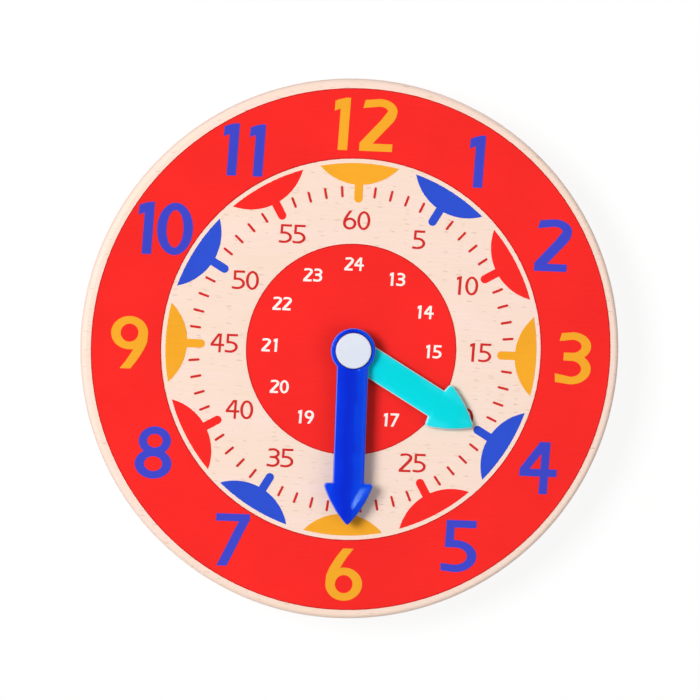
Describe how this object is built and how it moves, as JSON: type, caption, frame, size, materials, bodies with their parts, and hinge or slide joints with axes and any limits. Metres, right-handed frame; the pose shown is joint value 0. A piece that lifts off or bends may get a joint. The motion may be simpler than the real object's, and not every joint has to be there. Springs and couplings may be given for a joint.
{
  "type": "geared teaching clock",
  "caption": "Round wooden teaching clock with printed hour, minute and day-hour dials and arrow hands coupled by a small gear train in a case on its back.",
  "frame": {"origin": "on the hands' axis, in the plane of the gear case's flat rear face, on which the clock lies", "axes": "+Z out of the dial, +Y to 12 o'clock, +X to 3 o'clock"},
  "size_m": [0.2, 0.2, 0.0298],
  "materials": {
    "beech_ply": "sanded and clear lacquered",
    "ink_red": "satin screen ink",
    "ink_blue": "satin screen ink",
    "ink_yellow": "satin screen ink",
    "ink_dark_red": "satin screen ink",
    "ink_white": "satin screen ink",
    "white_acetal": "moulded, satin",
    "yellow_acetal": "moulded, satin",
    "red_acetal": "moulded, satin",
    "case_plastic": "moulded, fine texture",
    "clear_plastic": "clear moulded sheet",
    "white_plastic": "moulded, semi-gloss",
    "blue_plastic": "moulded, glossy",
    "cyan_plastic": "moulded, glossy",
    "zinc_steel": "zinc plated",
    "spring_steel": "bright drawn"
  },
  "bodies": {
    "clock body": {"dial_board": "beech_ply", "dial_bush": "white_acetal", "hour_band_print": "ink_red", "centre_disc_print": "ink_red", "half_suns_red_print": "ink_red", "half_suns_blue_print": "ink_blue", "half_suns_yellow_print": "ink_yellow", "minute_ticks_print": "ink_dark_red", "hour_numerals_yellow_print": "ink_yellow", "hour_numerals_blue_print": "ink_blue", "minute_numerals_print": "ink_dark_red", "day_hour_numerals_print": "ink_white", "gear_case": "case_plastic", "rear_cover": "clear_plastic", "case_screws": "zinc_steel", "cover_screws": "zinc_steel", "spring_washer": "spring_steel", "idler_stud": "spring_steel"},
    "minute hand group": {"minute_hand": "blue_plastic", "minute_arbor": "spring_steel", "cannon_pinion": "white_acetal", "hand_screw": "zinc_steel", "centre_cap": "white_plastic", "hand_spacer": "white_acetal"},
    "idler gear": {"idler_gear": "yellow_acetal"},
    "hour wheel": {"hour_wheel": "red_acetal"},
    "hour hand": {"hour_hand": "cyan_plastic"}
  },
  "joints": [
    {"name": "minute_hand_turn", "type": "hinge", "parent": "clock body", "child": "minute hand group", "pos_m": [0, 0, 0], "axis": [0, 0, -1], "continuous": true},
    {"name": "idler_turn", "type": "hinge", "parent": "clock body", "child": "idler gear", "pos_m": [0, -0.024, 0], "axis": [0, 0, -1], "continuous": true},
    {"name": "hour_wheel_turn", "type": "hinge", "parent": "clock body", "child": "hour wheel", "pos_m": [0, 0, 0], "axis": [0, 0, -1], "continuous": true},
    {"name": "hour_hand_slip", "type": "hinge", "parent": "hour wheel", "child": "hour hand", "pos_m": [0, 0, 0], "axis": [0, 0, -1], "continuous": true}
  ],
  "couplings": [
    {"joint": "idler_turn", "follows": "minute_hand_turn", "ratio": -0.33333},
    {"joint": "hour_wheel_turn", "follows": "minute_hand_turn", "ratio": 0.083333}
  ]
}
